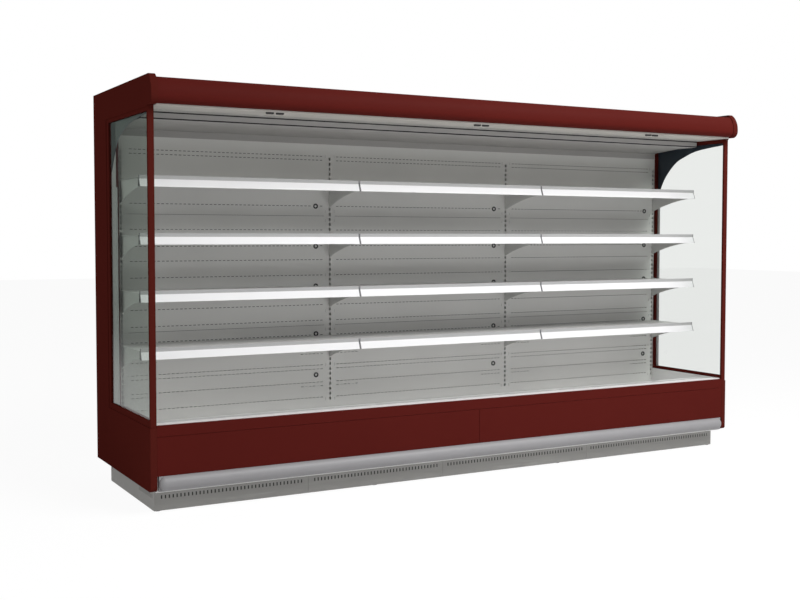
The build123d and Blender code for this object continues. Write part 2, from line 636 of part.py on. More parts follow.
# ---- Display wall -------------------------------------------------------------------------------
def shelf_uprights():
    """Hollow slotted posts from the tank floor to the roof, with wings behind the back panels."""
    parts = []
    slots = [FIRST_SLOT + i * SLOT_PITCH for i in range(SLOT_COUNT)]
    wing_front = WALL_DEPTH + BACK_SHEET
    for x in upright_centres():
        left = x - UPRIGHT_WIDTH / 2
        right = x + UPRIGHT_WIDTH / 2
        post = block(left, right, WALL_DEPTH, WALL_DEPTH + UPRIGHT_DEPTH, TANK_FLOOR_TOP, ROOF_BOTTOM)
        wing_left = max(left - UPRIGHT_WING, -HALF_RUN)
        wing_right = min(right + UPRIGHT_WING, HALF_RUN)
        post += block(wing_left, wing_right, wing_front, wing_front + SHEET, TANK_FLOOR_TOP, ROOF_BOTTOM)
        post -= block(left + SHEET, right - SHEET, WALL_DEPTH + SHEET, WALL_DEPTH + UPRIGHT_DEPTH - SHEET,
                      TANK_FLOOR_TOP, ROOF_BOTTOM)
        cutters = [block(x - SLOT_WIDTH / 2, x + SLOT_WIDTH / 2, WALL_DEPTH, WALL_DEPTH + SHEET,
                         z - SLOT_HEIGHT / 2, z + SLOT_HEIGHT / 2) for z in slots]
        parts.append(post - cutters)
        tab_top = DECK_TOP - DECK_SHEET
        tab_limit = HALF_RUN - TANK_END_WALL
        parts.append(block(max(left, -tab_limit), min(right, tab_limit), WALL_DEPTH - DECK_TAB_REACH,
                           WALL_DEPTH, tab_top - DECK_TAB_HEIGHT, tab_top))
    return parts


def back_panel_vents(x0, x1, z0, z1, fixing_x):
    """Vent slots and upright hanging slits of one back panel, leaving it bare around each fixing."""
    vents = []
    long_row = centred_row(x0, x1, VENT_PITCH, VENT_MARGIN)
    short_row = [x for x in long_row if min(x - x0, x1 - x) < VENT_MARGIN + SHORT_ROW_LENGTH]
    for rows, centres in ((LONG_ROWS, long_row), (SHORT_ROWS, short_row)):
        for z in rows:
            if not z0 + VENT_HEIGHT * 2 < z < z1 - VENT_HEIGHT * 2:
                continue
            for x in centres:
                clear = all(math.hypot(x - fixing_x, z - height) > FIXING_CLEAR for height in FIXING_HEIGHTS)
                if clear:
                    vents.append((x, z, VENT_WIDTH, VENT_HEIGHT))
    for z in HANGING_SLIT_HEIGHTS:
        if z0 + HANGING_SLIT_LENGTH < z < z1 - HANGING_SLIT_LENGTH:
            for x in (x0 + HANGING_SLIT_INSET, x1 - HANGING_SLIT_INSET):
                vents.append((x, z, HANGING_SLIT_WIDTH, HANGING_SLIT_LENGTH))
    return vents


def back_panels():
    """Three vented panels in each bay, one above the other, hung between the uprights."""
    lines = upright_centres()
    half_joint = BACK_PANEL_JOINT / 2
    levels = [DECK_TOP - DECK_SHEET - DECK_TAB_HEIGHT, LOWER_JOINT, UPPER_JOINT, BACK_PANEL_TOP]
    panels = []
    for bay in range(BAY_COUNT):
        x0 = lines[bay] + UPRIGHT_WIDTH / 2
        x1 = lines[bay + 1] - UPRIGHT_WIDTH / 2
        fixing_x = bay_ends(bay)[1] - FIXING_INSET
        for z0, z1 in zip(levels, levels[1:]):
            low = z0 if z0 == levels[0] else z0 + half_joint
            high = z1 if z1 == levels[-1] else z1 - half_joint
            vents = back_panel_vents(x0, x1, low, high, fixing_x)
            panels.append(slotted_sheet(x0, x1, low, high, WALL_DEPTH, BACK_SHEET, vents))
    return panels


def panel_fixings():
    """Ring-shaped fixings that hold each back panel near its right upright."""
    rings = []
    for bay in range(BAY_COUNT):
        x = bay_ends(bay)[1] - FIXING_INSET
        for z in FIXING_HEIGHTS:
            ring = Cylinder(FIXING_RADIUS, FIXING_THICKNESS) - Cylinder(FIXING_BORE_RADIUS, FIXING_THICKNESS)
            upright = Pos(x, FRONT + WALL_DEPTH - FIXING_THICKNESS / 2, z) * Rot(90, 0, 0) * ring
            rings.append(upright)
    return rings


# ---- Shelves ------------------------------------------------------------------------------------
def shelf_tray(bay, tier):
    """Folded steel shelf that rests on its two brackets."""
    x0, x1 = bay_ends(bay)
    x0 += SHELF_SIDE_GAP
    x1 -= SHELF_SIDE_GAP
    top = shelf_level(tier)
    tray = block(x0, x1, SHELF_FRONT, SHELF_REAR, top - SHELF_SHEET, top)
    tray += block(x0, x1, SHELF_FRONT, SHELF_FRONT + SHELF_SHEET, top - SHELF_FOLD, top)
    tray += block(x0 + SHELF_FOLD_INSET, x1 - SHELF_FOLD_INSET, SHELF_REAR - SHELF_SHEET, SHELF_REAR,
                  top - SHELF_FOLD, top)
    return tray


def ticket_strip(bay, tier):
    """Hollow price channel on a shelf's front edge, with a leaning face and a rim above the shelf."""
    x0, x1 = bay_ends(bay)
    x0 += SHELF_SIDE_GAP
    x1 -= SHELF_SIDE_GAP
    top = shelf_level(tier)
    low = top - STRIP_DROP
    crease = low + STRIP_FACE_HEIGHT
    back = SHELF_FRONT
    head = back - STRIP_HEAD
    foot = back - STRIP_FOOT
    strip = side_profile([
        (back, low), (back, top), (head + STRIP_SHEET, top), (head + STRIP_SHEET, top + STRIP_RIM),
        (head, top + STRIP_RIM), (head, crease), (foot, low),
    ], x0, x1)
    bore = side_profile([
        (back - STRIP_SHEET, low + STRIP_SHEET), (back - STRIP_SHEET, top - STRIP_SHEET),
        (head + STRIP_SHEET, top - STRIP_SHEET), (head + STRIP_SHEET, crease),
        (foot + 1.5 * STRIP_SHEET, low + STRIP_SHEET),
    ], x0, x1)
    return strip - bore


def bracket_lines():
    """Left faces of the shelf brackets: one at each end of each bay, in line with an upright."""
    lines = []
    for bay in range(BAY_COUNT):
        x0, x1 = bay_ends(bay)
        first = bay == 0
        last = bay == BAY_COUNT - 1
        lines.append(x0 + (UPRIGHT_WIDTH / 2 - BRACKET_SHEET / 2 if first else BRACKET_SIDE_GAP))
        lines.append(x1 - BRACKET_SHEET - (UPRIGHT_WIDTH / 2 - BRACKET_SHEET / 2 if last else BRACKET_SIDE_GAP))
    return lines


def bracket_outline(top):
    """Side view of a bracket: level top, bowed underside, and hooks that enter the upright's slots."""
    tip = SHELF_FRONT + SHELF_SHEET + FIT_GAP
    rear = WALL_DEPTH
    low = top - BRACKET_REAR_HEIGHT
    toe = top - BRACKET_FRONT_HEIGHT
    middle = ((rear + tip) / 2, (low + toe) / 2 + BRACKET_BELLY)
    belly = ThreePointArc((tip, toe), middle, (rear, low))
    points = [(rear, low)]
    for hook in reversed(range(0, HOOK_SPACING + 1, HOOK_SPACING)):
        centre = top - HOOK_DROP - hook * SLOT_PITCH
        points += [
            (rear, centre - HOOK_HEIGHT / 2), (rear + HOOK_REACH, centre - HOOK_HEIGHT / 2),
            (rear + HOOK_REACH, centre + HOOK_HEIGHT / 2), (rear, centre + HOOK_HEIGHT / 2),
        ]
    points += [(rear, top), (tip, top), (tip, toe)]
    return Curve() + [belly, Polyline(*points)]


def shelf_brackets():
    brackets = []
    for tier in range(1, TIER_COUNT + 1):
        outline = bracket_outline(shelf_level(tier) - SHELF_SHEET)
        for x in bracket_lines():
            brackets.append(side_face(outline, x, x + BRACKET_SHEET))
    return brackets


def deck_tray(bay):
    """Lift-out tray: floor, riser and the slotted return-air grille along its front."""
    x0, x1 = bay_ends(bay)
    x0 = max(x0, -HALF_RUN + TANK_END_WALL) + DECK_GAP
    x1 = min(x1, HALF_RUN - TANK_END_WALL) - DECK_GAP
    front = TANK_INNER_FRONT + DECK_GAP
    rear = WALL_DEPTH - DECK_GAP
    low = DECK_TOP - DECK_SHEET
    section = [
        (front, GRILLE_TOP), (front, GRILLE_TOP - DECK_SHEET), (RISER_DEPTH - DECK_SHEET, GRILLE_TOP - DECK_SHEET),
        (RISER_DEPTH - DECK_SHEET, low), (rear, low), (rear, DECK_TOP), (RISER_DEPTH, DECK_TOP),
        (RISER_DEPTH, GRILLE_TOP),
    ]
    tray = side_profile(section, x0, x1)
    slot0 = TANK_INNER_FRONT + TANK_LEDGE
    slot1 = RISER_DEPTH - TANK_LEDGE
    slots = [block(x - GRILLE_SLOT_WIDTH / 2, x + GRILLE_SLOT_WIDTH / 2, slot0, slot1,
                   GRILLE_TOP - DECK_SHEET, GRILLE_TOP)
             for x in centred_row(x0, x1, GRILLE_SLOT_PITCH, GRILLE_SLOT_MARGIN)]
    return tray - slots


# ---- Night blinds -------------------------------------------------------------------------------
def blind_roller(bay):
    """Sprung roller with its cloth wound on, and a pin at each end."""
    x0, x1 = bay_ends(bay)
    length = x1 - x0 - 2 * BLIND_SIDE_GAP
    roller = Cylinder(ROLLER_RADIUS, length) + Cylinder(ROLLER_PIN_RADIUS, length + 2 * ROLLER_PIN_LENGTH)
    return Pos((x0 + x1) / 2, FRONT + ROLLER_DEPTH, ROLLER_HEIGHT) * Rot(0, 90, 0) * roller


def blind_brackets():
    """Upright plates on the soffit that carry the rollers' pins."""
    plates = []
    reach = ROLLER_PIN_RADIUS + BLIND_BRACKET_MARGIN
    plate_gap = (ROLLER_PIN_LENGTH - BLIND_BRACKET_SHEET) / 2
    for bay in range(BAY_COUNT):
        x0, x1 = bay_ends(bay)
        for x in (x0 + BLIND_SIDE_GAP - plate_gap - BLIND_BRACKET_SHEET, x1 - BLIND_SIDE_GAP + plate_gap):
            plate = block(x, x + BLIND_BRACKET_SHEET, ROLLER_DEPTH - reach, ROLLER_DEPTH + reach,
                          SOFFIT_TOP, ROLLER_HEIGHT + reach)
            bore = Pos(x, FRONT + ROLLER_DEPTH, ROLLER_HEIGHT) * Rot(0, 90, 0) * Cylinder(
                ROLLER_PIN_RADIUS + FIT_GAP, 4 * BLIND_BRACKET_SHEET)
            plates.append(plate - bore)
    return plates


def blind_bar(bay):
    """Pull bar on the hem of the night blind, parked flush in the soffit, with two finger grips."""
    x0, x1 = bay_ends(bay)
    half = BAR_WIDTH / 2
    side_gap = BLIND_SIDE_GAP + FIT_GAP
    bar = block(x0 + side_gap, x1 - side_gap, BLIND_DEPTH - half, BLIND_DEPTH + half,
                BAR_TOP - BAR_HEIGHT, BAR_TOP)
    bar = fillet(bar.edges().filter_by(Axis.X), BAR_EDGE_RADIUS)
    solids = [bar]
    middle = bay_middle(bay)
    for x in (middle - GRIP_GAP / 2 - GRIP_LENGTH, middle + GRIP_GAP / 2):
        grip = block(x, x + GRIP_LENGTH, BLIND_DEPTH - GRIP_WIDTH / 2, BLIND_DEPTH + GRIP_WIDTH / 2,
                     BAR_TOP - BAR_HEIGHT - GRIP_DROP, BAR_TOP - BAR_HEIGHT)
        lower_edges = grip.faces().sort_by(Axis.Z)[0].edges().filter_by(Axis.Y)
        solids.append(fillet(lower_edges, GRIP_DROP / 2))
    return solids


# ---- Air side -----------------------------------------------------------------------------------
def fan_motor(x):
    """Motor behind the fan plate on three arms, with its shaft through the hole."""
    plate_back = FAN_PLATE_DEPTH + SHEET
    face = plate_back + MOTOR_STAND_OFF
    body = Cylinder(MOTOR_RADIUS, MOTOR_LENGTH, align=(Align.CENTER, Align.CENTER, Align.MIN))
    shaft = Cylinder(SHAFT_RADIUS, SHAFT_LENGTH, align=(Align.CENTER, Align.CENTER, Align.MAX))
    motor = body + shaft
    reach = FAN_HOLE_RADIUS + MOTOR_ARM
    for i in range(3):
        arm = Pos(reach / 2, 0, MOTOR_ARM / 2) * Box(reach, MOTOR_ARM, MOTOR_ARM)
        post = Pos(reach - MOTOR_ARM / 2, 0, -MOTOR_STAND_OFF / 2) * Box(MOTOR_ARM, MOTOR_ARM, MOTOR_STAND_OFF)
        motor += Rot(0, 0, 90 + 120 * i) * (arm + post)
    return Pos(x, FRONT + face, FAN_HEIGHT) * Rot(-90, 0, 0) * motor


def fan_plate():
    """Plate across the tank with one fan hole per bay and a top flange under the deck, and the motors."""
    x1 = HALF_RUN - TANK_END_WALL
    top = DECK_TOP - DECK_SHEET
    rear = FAN_PLATE_DEPTH + SHEET
    plate = block(-x1, x1, FAN_PLATE_DEPTH, rear, TANK_FLOOR_TOP, top)
    plate += block(-x1, x1, rear, rear + FAN_PLATE_FLANGE, top - SHEET, top)
    motors = []
    for bay in range(BAY_COUNT):
        x = bay_middle(bay)
        hole = Pos(x, FRONT + FAN_PLATE_DEPTH, FAN_HEIGHT) * Rot(90, 0, 0) * Cylinder(FAN_HOLE_RADIUS, 4 * SHEET)
        plate -= hole
        motors.append(fan_motor(x))
    return [plate] + motors


def fan_rotor(bay):
    """Five-bladed rotor on the motor's shaft, inside its hole in the fan plate."""
    hub_back = FAN_PLATE_DEPTH + SHEET + MOTOR_STAND_OFF - FIT_GAP
    rotor = Cylinder(FAN_HUB_RADIUS, FAN_HUB_LENGTH, align=(Align.CENTER, Align.CENTER, Align.MAX))
    span = FAN_HOLE_RADIUS - FAN_TIP_GAP
    for i in range(FAN_BLADES):
        blade = Rot(FAN_BLADE_PITCH, 0, 0) * Box(span, FAN_BLADE_WIDTH, FAN_BLADE_SHEET,
                                                 align=(Align.MIN, Align.CENTER, Align.CENTER))
        rotor += Pos(0, 0, -FAN_HUB_LENGTH / 2) * Rot(0, 0, 360 / FAN_BLADES * i) * blade
    sweep = Cylinder(span, 2 * FAN_HUB_LENGTH, align=(Align.CENTER, Align.CENTER, Align.MAX))
    bore = Cylinder(SHAFT_RADIUS + FIT_GAP, 2 * FAN_HUB_LENGTH)
    rotor = (rotor & sweep) - bore
    return Pos(bay_middle(bay), FRONT + hub_back, FAN_HEIGHT) * Rot(-90, 0, 0) * rotor


def evaporator_coil():
    """Finned coil standing in the duct behind the back panels."""
    x1 = HALF_RUN - COIL_END_GAP
    z0 = TANK_FLOOR_TOP
    pitch = 2 * x1 / (COIL_FIN_COUNT - 1)
    coil = Part()
    tubes = []
    for row in range(COIL_TUBE_ROWS):
        for column in range(COIL_TUBE_COLUMNS):
            depth = COIL_DEPTH + COIL_THICKNESS * (column + 0.5) / COIL_TUBE_COLUMNS
            height = z0 + COIL_HEIGHT * (row + 0.5) / COIL_TUBE_ROWS
            tube = Pos(0, FRONT + depth, height) * Rot(0, 90, 0) * Cylinder(COIL_TUBE_RADIUS, 2 * x1)
            tubes.append(tube)
    fins = []
    for i in range(COIL_FIN_COUNT):
        x = -x1 + i * pitch
        left = min(max(x - COIL_FIN / 2, -x1), x1 - COIL_FIN)
        fins.append(block(left, left + COIL_FIN, COIL_DEPTH, COIL_DEPTH + COIL_THICKNESS, z0, z0 + COIL_HEIGHT))
    return coil + fins + tubes


# ---- Nodes --------------------------------------------------------------------------------------
def all_nodes():
    nodes = {
        "base_frame": base_frame(),
        "levelling_feet": levelling_feet(),
        "plinth_plates": plinth_plates(),
        "insulated_tank": insulated_tank(),
        "insulated_back_wall": insulated_back_wall(),
        "insulated_roof": insulated_roof(),
        "front_panels": front_panels(),
        "front_top_rail": front_top_rail(),
        "bumper_rail": bumper_rail(),
        "canopy_fascia": canopy_fascia(),
        "canopy_soffit": canopy_soffit(),
        "lamp_tubes": lamp_tubes(),
        "air_outlet_honeycomb": air_outlet_honeycomb(),
        "air_duct_ceiling": air_duct_ceiling(),
        "end_panel_left": end_panel_left(),
        "end_panel_right": end_panel_right(),
        "end_glass_panes": end_glass_panes(),
        "shelf_uprights": shelf_uprights(),
        "back_panels": back_panels(),
        "panel_fixings": panel_fixings(),
        "shelf_brackets": shelf_brackets(),
        "blind_brackets": blind_brackets(),
        "fan_plate": fan_plate(),
        "evaporator_coil": evaporator_coil(),
    }
    for bay, name in enumerate(BAY_NAMES):
        nodes[f"deck_tray_{name}"] = deck_tray(bay)
        nodes[f"fan_rotor_{name}"] = fan_rotor(bay)
        nodes[f"blind_roller_{name}"] = blind_roller(bay)
        nodes[f"blind_bar_{name}"] = blind_bar(bay)
        for tier in range(1, TIER_COUNT + 1):
            nodes[f"shelf_{name}_{tier}"] = shelf_tray(bay, tier)
            nodes[f"ticket_strip_{name}_{tier}"] = ticket_strip(bay, tier)
    return nodes


def solids_of(shape):
    """Flat list of the solids in a node's shape or list of shapes."""
    pieces = shape if isinstance(shape, list) else [shape]
    return [solid for piece in pieces for solid in piece.solids()]


os.makedirs("parts", exist_ok=True)
for node_name, node_shape in all_nodes().items():
    solids = solids_of(node_shape)
    export_step(solids[0] if len(solids) == 1 else Compound(children=solids), f"parts/{node_name}.step")
    print(f"{node_name}: {len(solids)} solids")
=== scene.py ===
import math

import bmesh
import bpy
from mathutils import Matrix, Vector


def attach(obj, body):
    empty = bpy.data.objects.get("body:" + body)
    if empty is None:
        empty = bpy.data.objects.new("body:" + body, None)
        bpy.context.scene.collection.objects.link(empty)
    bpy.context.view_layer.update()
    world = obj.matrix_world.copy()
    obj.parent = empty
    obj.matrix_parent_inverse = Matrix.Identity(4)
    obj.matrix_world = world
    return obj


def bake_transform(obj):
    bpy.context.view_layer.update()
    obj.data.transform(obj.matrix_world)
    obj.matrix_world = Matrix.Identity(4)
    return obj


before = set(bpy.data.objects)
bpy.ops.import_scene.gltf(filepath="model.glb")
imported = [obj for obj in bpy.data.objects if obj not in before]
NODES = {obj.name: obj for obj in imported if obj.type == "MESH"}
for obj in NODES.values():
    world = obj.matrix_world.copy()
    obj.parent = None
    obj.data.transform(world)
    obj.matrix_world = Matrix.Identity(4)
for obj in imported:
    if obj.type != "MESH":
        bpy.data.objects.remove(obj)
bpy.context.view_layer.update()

# ---- Places in the CAD frame, in metres: depths count back from the front panels' face ----------
FRONT = -0.490            # the front panels' face
BAY_LENGTH = 1.250
BAY_NAMES = ("left", "middle", "right")
BAY_JOINT = BAY_LENGTH / 2  # where two bays meet, to either side of the middle
STRIP_END = 1.874         # outer end of the outer ticket strips
PANE_INNER = 1.890        # inner face of the end panes
PANE_SILL = 0.469
PANE_HEAD = 1.990
POST_REAR = 0.018         # rear of the end panel's front post
WINDOW_REAR = 0.664       # rear of the end panel's window
SOFFIT_BOTTOM = 2.014
CEILING_BOTTOM = 1.975
CEILING_LIP = 0.255       # front of the air duct ceiling
CEILING_HALF_RUN = 1.866
PLINTH_BACK = 0.090       # inner faces of the plinth plates
PLINTH_SIDE = 1.865
PLINTH_REAR = 0.924
FRAME_BOTTOM = 0.080      # underside of the base frame
ROLLER_HEIGHT = 2.057     # axis of the blind rollers
BAR_TOP = 2.020
BLIND_DEPTH = -0.008
BLIND_SIDE_GAP = 0.0253   # from a cloth's side to its bay's end
SKIN_GAP = 0.0002         # clearance between a thin added piece and the face behind it

# Edge of the dark mask on each end pane, from the post down to the window's rear, as (depth, height).
# Over the pane's rear margin it runs on at the slope, with a dark rim, painted shade along the mask's edge,
# of the given half width.
MASK_EDGES = {
    "left": [(POST_REAR, 1.982), (0.121, 1.979), (0.259, 1.971),
             (0.415, 1.952), (0.580, 1.905), (WINDOW_REAR, 1.843)],
    "right": [(POST_REAR, 1.977), (0.262, 1.955), (0.392, 1.921),
              (0.492, 1.877), (0.594, 1.780), (WINDOW_REAR, 1.655)],
}
MASK_SLOPE = 1.32
MARGIN_RIM = 0.009

# ---- Photograph's view, in pixels, metres and degrees -------------------------------------------
IMAGE_WIDTH = 800
IMAGE_HEIGHT = 600
FOCAL_PIXELS = 1151.8
PRINCIPAL_X = 443.48
PRINCIPAL_Y = 287.87
CAMERA_AT = (-3.5020, -6.0603, 1.3939)
CAMERA_YAW = 30.335
CAMERA_PITCH = -2.678
CAMERA_ROLL = 0.123
SENSOR_MM = 36.0

# ---- Sockets of the colour Mix node -------------------------------------------------------------
MIX_FIRST = 6
MIX_SECOND = 7
MIX_RESULT = 2


# ---- Node helpers -------------------------------------------------------------------------------
class Nodes:
    """Adds nodes to one material and links them."""

    def __init__(self, name):
        self.material = bpy.data.materials.new(name)
        self.material.use_nodes = True
        self.tree = self.material.node_tree
        self.tree.nodes.clear()
        self.output = self.add("ShaderNodeOutputMaterial")

    def add(self, kind, **values):
        node = self.tree.nodes.new(kind)
        for key, value in values.items():
            setattr(node, key, value)
        return node

    def link(self, source, target):
        self.tree.links.new(source, target)

    def coordinates(self, output="Object"):
        return self.add("ShaderNodeTexCoord").outputs[output]

    def axis(self, name, output="Object"):
        """One axis of the object's own metres, or of its normal."""
        split = self.add("ShaderNodeSeparateXYZ")
        self.link(self.coordinates(output), split.inputs["Vector"])
        return split.outputs[name]

    def math(self, operation, first, second=None):
        """Math node on sockets or plain numbers."""
        node = self.add("ShaderNodeMath", operation=operation)
        for i, value in enumerate((first, second)):
            if isinstance(value, (int, float)):
                node.inputs[i].default_value = value
            elif value is not None:
                self.link(value, node.inputs[i])
        return node.outputs["Value"]

    def near(self, value, centre, reach):
        """1 where a value is within reach of the centre, 0 elsewhere."""
        node = self.add("ShaderNodeMath", operation="COMPARE")
        self.link(value, node.inputs[0])
        node.inputs[1].default_value = centre
        node.inputs[2].default_value = reach
        return node.outputs["Value"]

    def noise(self, scale, detail=3.0, stretch=(1.0, 1.0, 1.0)):
        """Noise over the object's own metres, stretched along its axes."""
        mapping = self.add("ShaderNodeMapping")
        mapping.inputs["Scale"].default_value = stretch
        self.link(self.coordinates(), mapping.inputs["Vector"])
        noise = self.add("ShaderNodeTexNoise")
        noise.inputs["Scale"].default_value = scale
        noise.inputs["Detail"].default_value = detail
        self.link(mapping.outputs["Vector"], noise.inputs["Vector"])
        return noise.outputs["Fac"]

    def ramp(self, factor, stops, interpolation="LINEAR"):
        ramp = self.add("ShaderNodeValToRGB")
        ramp.color_ramp.interpolation = interpolation
        elements = ramp.color_ramp.elements
        while len(elements) < len(stops):
            elements.new(0.5)
        for element, (place, colour) in zip(elements, stops):
            element.position = place
            element.color = colour
        self.link(factor, ramp.inputs["Fac"])
        return ramp.outputs["Color"]

    def spread(self, factor, low, high):
        """Turns a 0 to 1 value into one from low to high."""
        spread = self.add("ShaderNodeMapRange")
        spread.inputs["To Min"].default_value = low
        spread.inputs["To Max"].default_value = high
        self.link(factor, spread.inputs["Value"])
        return spread.outputs["Result"]

    def tint(self, factor, first, second):
        """Colour that goes from the first to the second with the factor; each is a socket or a colour."""
        mix = self.add("ShaderNodeMix", data_type="RGBA")
        self.link(factor, mix.inputs["Factor"])
        for place, colour in ((MIX_FIRST, first), (MIX_SECOND, second)):
            if isinstance(colour, tuple):
                mix.inputs[place].default_value = colour
            else:
                self.link(colour, mix.inputs[place])
        return mix.outputs[MIX_RESULT]

    def bump(self, height, strength, distance):
        bump = self.add("ShaderNodeBump")
        bump.inputs["Strength"].default_value = strength
        bump.inputs["Distance"].default_value = distance
        self.link(height, bump.inputs["Height"])
        return bump.outputs["Normal"]

    def facing(self, axis, way):
        """1 on faces that look the given way, 1 or -1, along an axis."""
        towards = self.math("MULTIPLY", self.axis(axis, "Normal"), way)
        return self.math("GREATER_THAN", towards, 0.9)

    def shader(self, **values):
        """Principled shader with plain values, on the material's output."""
        shader = self.add("ShaderNodeBsdfPrincipled")
        for key, value in values.items():
            shader.inputs[key.replace("_", " ")].default_value = value
        self.link(shader.outputs["BSDF"], self.output.inputs["Surface"])
        return shader


def srgb(red, green, blue):
    """Linear colour of a colour read off a screen, 0 to 255."""
    def linear(value):
        value /= 255
        return value / 12.92 if value <= 0.04045 else ((value + 0.055) / 1.055) ** 2.4
    return linear(red), linear(green), linear(blue), 1.0


def shaded(colour, factor):
    """Colour made lighter or darker by a factor."""
    return tuple(channel * factor for channel in colour[:3]) + (1.0,)


def drifting(n, colour, scale, variation):
    """Colour that drifts a little lighter and darker over the surface."""
    stops = [(0.3, shaded(colour, 1 - variation)), (0.7, shaded(colour, 1 + variation))]
    return n.ramp(n.noise(scale), stops)


def paint_colour(n, colour):
    """Paint's colour, with a faint slow drift."""
    return drifting(n, colour, scale=1.7, variation=0.03)


# ---- Materials ----------------------------------------------------------------------------------
def coat(n, colours, roughness, gloss_level):
    """Powder coat or enamel over given colours: uneven gloss and a fine orange peel."""
    shader = n.shader(Specular_IOR_Level=gloss_level)
    uneven = n.spread(n.noise(24.0, detail=4.0), roughness - 0.05, roughness + 0.06)
    peel = n.bump(n.noise(900.0, detail=2.0), strength=0.35, distance=0.00003)
    n.link(colours, shader.inputs["Base Color"])
    n.link(uneven, shader.inputs["Roughness"])
    n.link(peel, shader.inputs["Normal"])
    return n.material


def painted(name, colour, roughness, gloss_level=0.4):
    """Plain painted sheet."""
    n = Nodes(name)
    return coat(n, paint_colour(n, colour), roughness, gloss_level)


def end_panel_paint(name, colour, tape_colour, mask_colour, painted_shade_rim_colour, mask_foot):
    """Dark enamel. Through the pane's rear margin shows the pale glazing tape, and above it the corner mask,
    which runs on from its foot in the window at a steady slope, edged by a dark rim that is painted shade."""
    n = Nodes(name)
    at_pane = n.near(n.math("ABSOLUTE", n.axis("X")), PANE_INNER, reach=0.0006)
    sideways = n.near(n.math("ABSOLUTE", n.axis("X", "Normal")), 1.0, reach=0.05)
    seat = n.math("MULTIPLY", at_pane, sideways)
    level = n.math("ADD", n.axis("Z"), n.math("MULTIPLY", n.axis("Y"), MASK_SLOPE))
    foot_level = mask_foot + MASK_SLOPE * (FRONT + WINDOW_REAR)
    masked = n.math("GREATER_THAN", level, foot_level)
    # Dark rim along the mask's edge: painted shade.
    rim = n.near(level, foot_level, MARGIN_RIM)
    margin = n.tint(rim, n.tint(masked, tape_colour, mask_colour), painted_shade_rim_colour)
    return coat(n, n.tint(seat, paint_colour(n, colour), margin), roughness=0.55, gloss_level=0.0)


def shelf_paint_shaded_under(name, colour, painted_shade_under_colour):
    """Painted shelf; its underside takes a darker colour as painted shade."""
    n = Nodes(name)
    colours = n.tint(n.facing("Z", -1), paint_colour(n, colour), painted_shade_under_colour)
    return coat(n, colours, roughness=0.5, gloss_level=0.4)


def slotted_paint(name, colour, slot_shade_colour):
    """Painted air panel whose slot walls take a dark colour as painted shade."""
    n = Nodes(name)
    sheet_face = n.near(n.math("ABSOLUTE", n.axis("Y", "Normal")), 1.0, reach=0.5)
    colours = n.tint(sheet_face, slot_shade_colour, paint_colour(n, colour))
    return coat(n, colours, roughness=0.5, gloss_level=0.4)


def liner_with_duct_shade(name, colour, duct_shade_colour):
    """Pale liner; its side that faces the air duct takes a dark colour as painted shade."""
    n = Nodes(name)
    colours = n.tint(n.facing("Y", -1), paint_colour(n, colour), duct_shade_colour)
    return coat(n, colours, roughness=0.45, gloss_level=0.4)


def scuffed(name, colour, scuff_colour, roughness):
    """Kick plate paint, rubbed paler in long thin marks near the floor."""
    n = Nodes(name)
    streaks = n.noise(14.0, detail=5.0, stretch=(0.25, 1.0, 3.0))
    marks = n.ramp(streaks, [(0.56, (0, 0, 0, 1)), (0.74, (1, 1, 1, 1))])
    low = n.spread(n.axis("Z"), 0.6, -5.0)
    share = n.math("MULTIPLY", marks, n.math("MAXIMUM", low, 0.12))
    colours = n.tint(share, drifting(n, colour, scale=2.2, variation=0.03), scuff_colour)
    return coat(n, colours, roughness, gloss_level=0.3)


def plastic(n, colours, roughness, grain=1400.0, strength=0.3, distance=0.00004):
    """Moulded plastic of given colours, with a fine even grain."""
    shader = n.shader(Roughness=roughness)
    n.link(colours, shader.inputs["Base Color"])
    n.link(n.bump(n.noise(grain, detail=1.0), strength, distance), shader.inputs["Normal"])
    return n.material


def moulded(name, colour, roughness, variation=0.05):
    """Plain moulded plastic."""
    n = Nodes(name)
    return plastic(n, drifting(n, colour, 9.0, variation), roughness)


def ticket_plastic(name, face_colour, painted_shade_rim_colour, end_colour):
    """White price channel: bright on the leaning face, greyer on its rim faces as painted shade, dark at its
    two end caps.
    """
    n = Nodes(name)
    lean = n.axis("Z", "Normal")
    # Every face but the leaning one takes the rim colour, a painted shade.
    colours = n.ramp(lean, [(0.0, painted_shade_rim_colour), (0.2, face_colour), (0.6, painted_shade_rim_colour)], "CONSTANT")
    side = n.math("ABSOLUTE", n.axis("X"))
    joint = n.near(side, BAY_JOINT, reach=0.0055)
    outer_end = n.near(side, STRIP_END, reach=0.0045)
    capped = n.tint(n.math("MAXIMUM", joint, outer_end), colours, end_colour)
    return plastic(n, capped, roughness=0.45, grain=1200.0, strength=0.2, distance=0.00003)


def bar_plastic(name, bar_colour, grip_colour):
    """Pull bar in the soffit's colour, with dark finger grips under it."""
    n = Nodes(name)
    grip = n.math("LESS_THAN", n.axis("Z"), SOFFIT_BOTTOM - SKIN_GAP)
    colours = n.tint(grip, drifting(n, bar_colour, scale=9.0, variation=0.03), grip_colour)
    return plastic(n, colours, roughness=0.5)


def blind_weave(name, colour):
    """Woven blind cloth: crossed threads and a soft, slightly uneven tone."""
    n = Nodes(name)
    shader = n.shader(Roughness=0.85, Sheen_Weight=0.2)
    n.link(drifting(n, colour, scale=40.0, variation=0.05), shader.inputs["Base Color"])
    upright = n.noise(900.0, stretch=(1.0, 0.05, 0.05))
    level = n.noise(900.0, stretch=(0.05, 1.0, 1.0))
    threads = n.math("MAXIMUM", upright, level)
    n.link(n.bump(threads, strength=0.4, distance=0.0001), shader.inputs["Normal"])
    return n.material


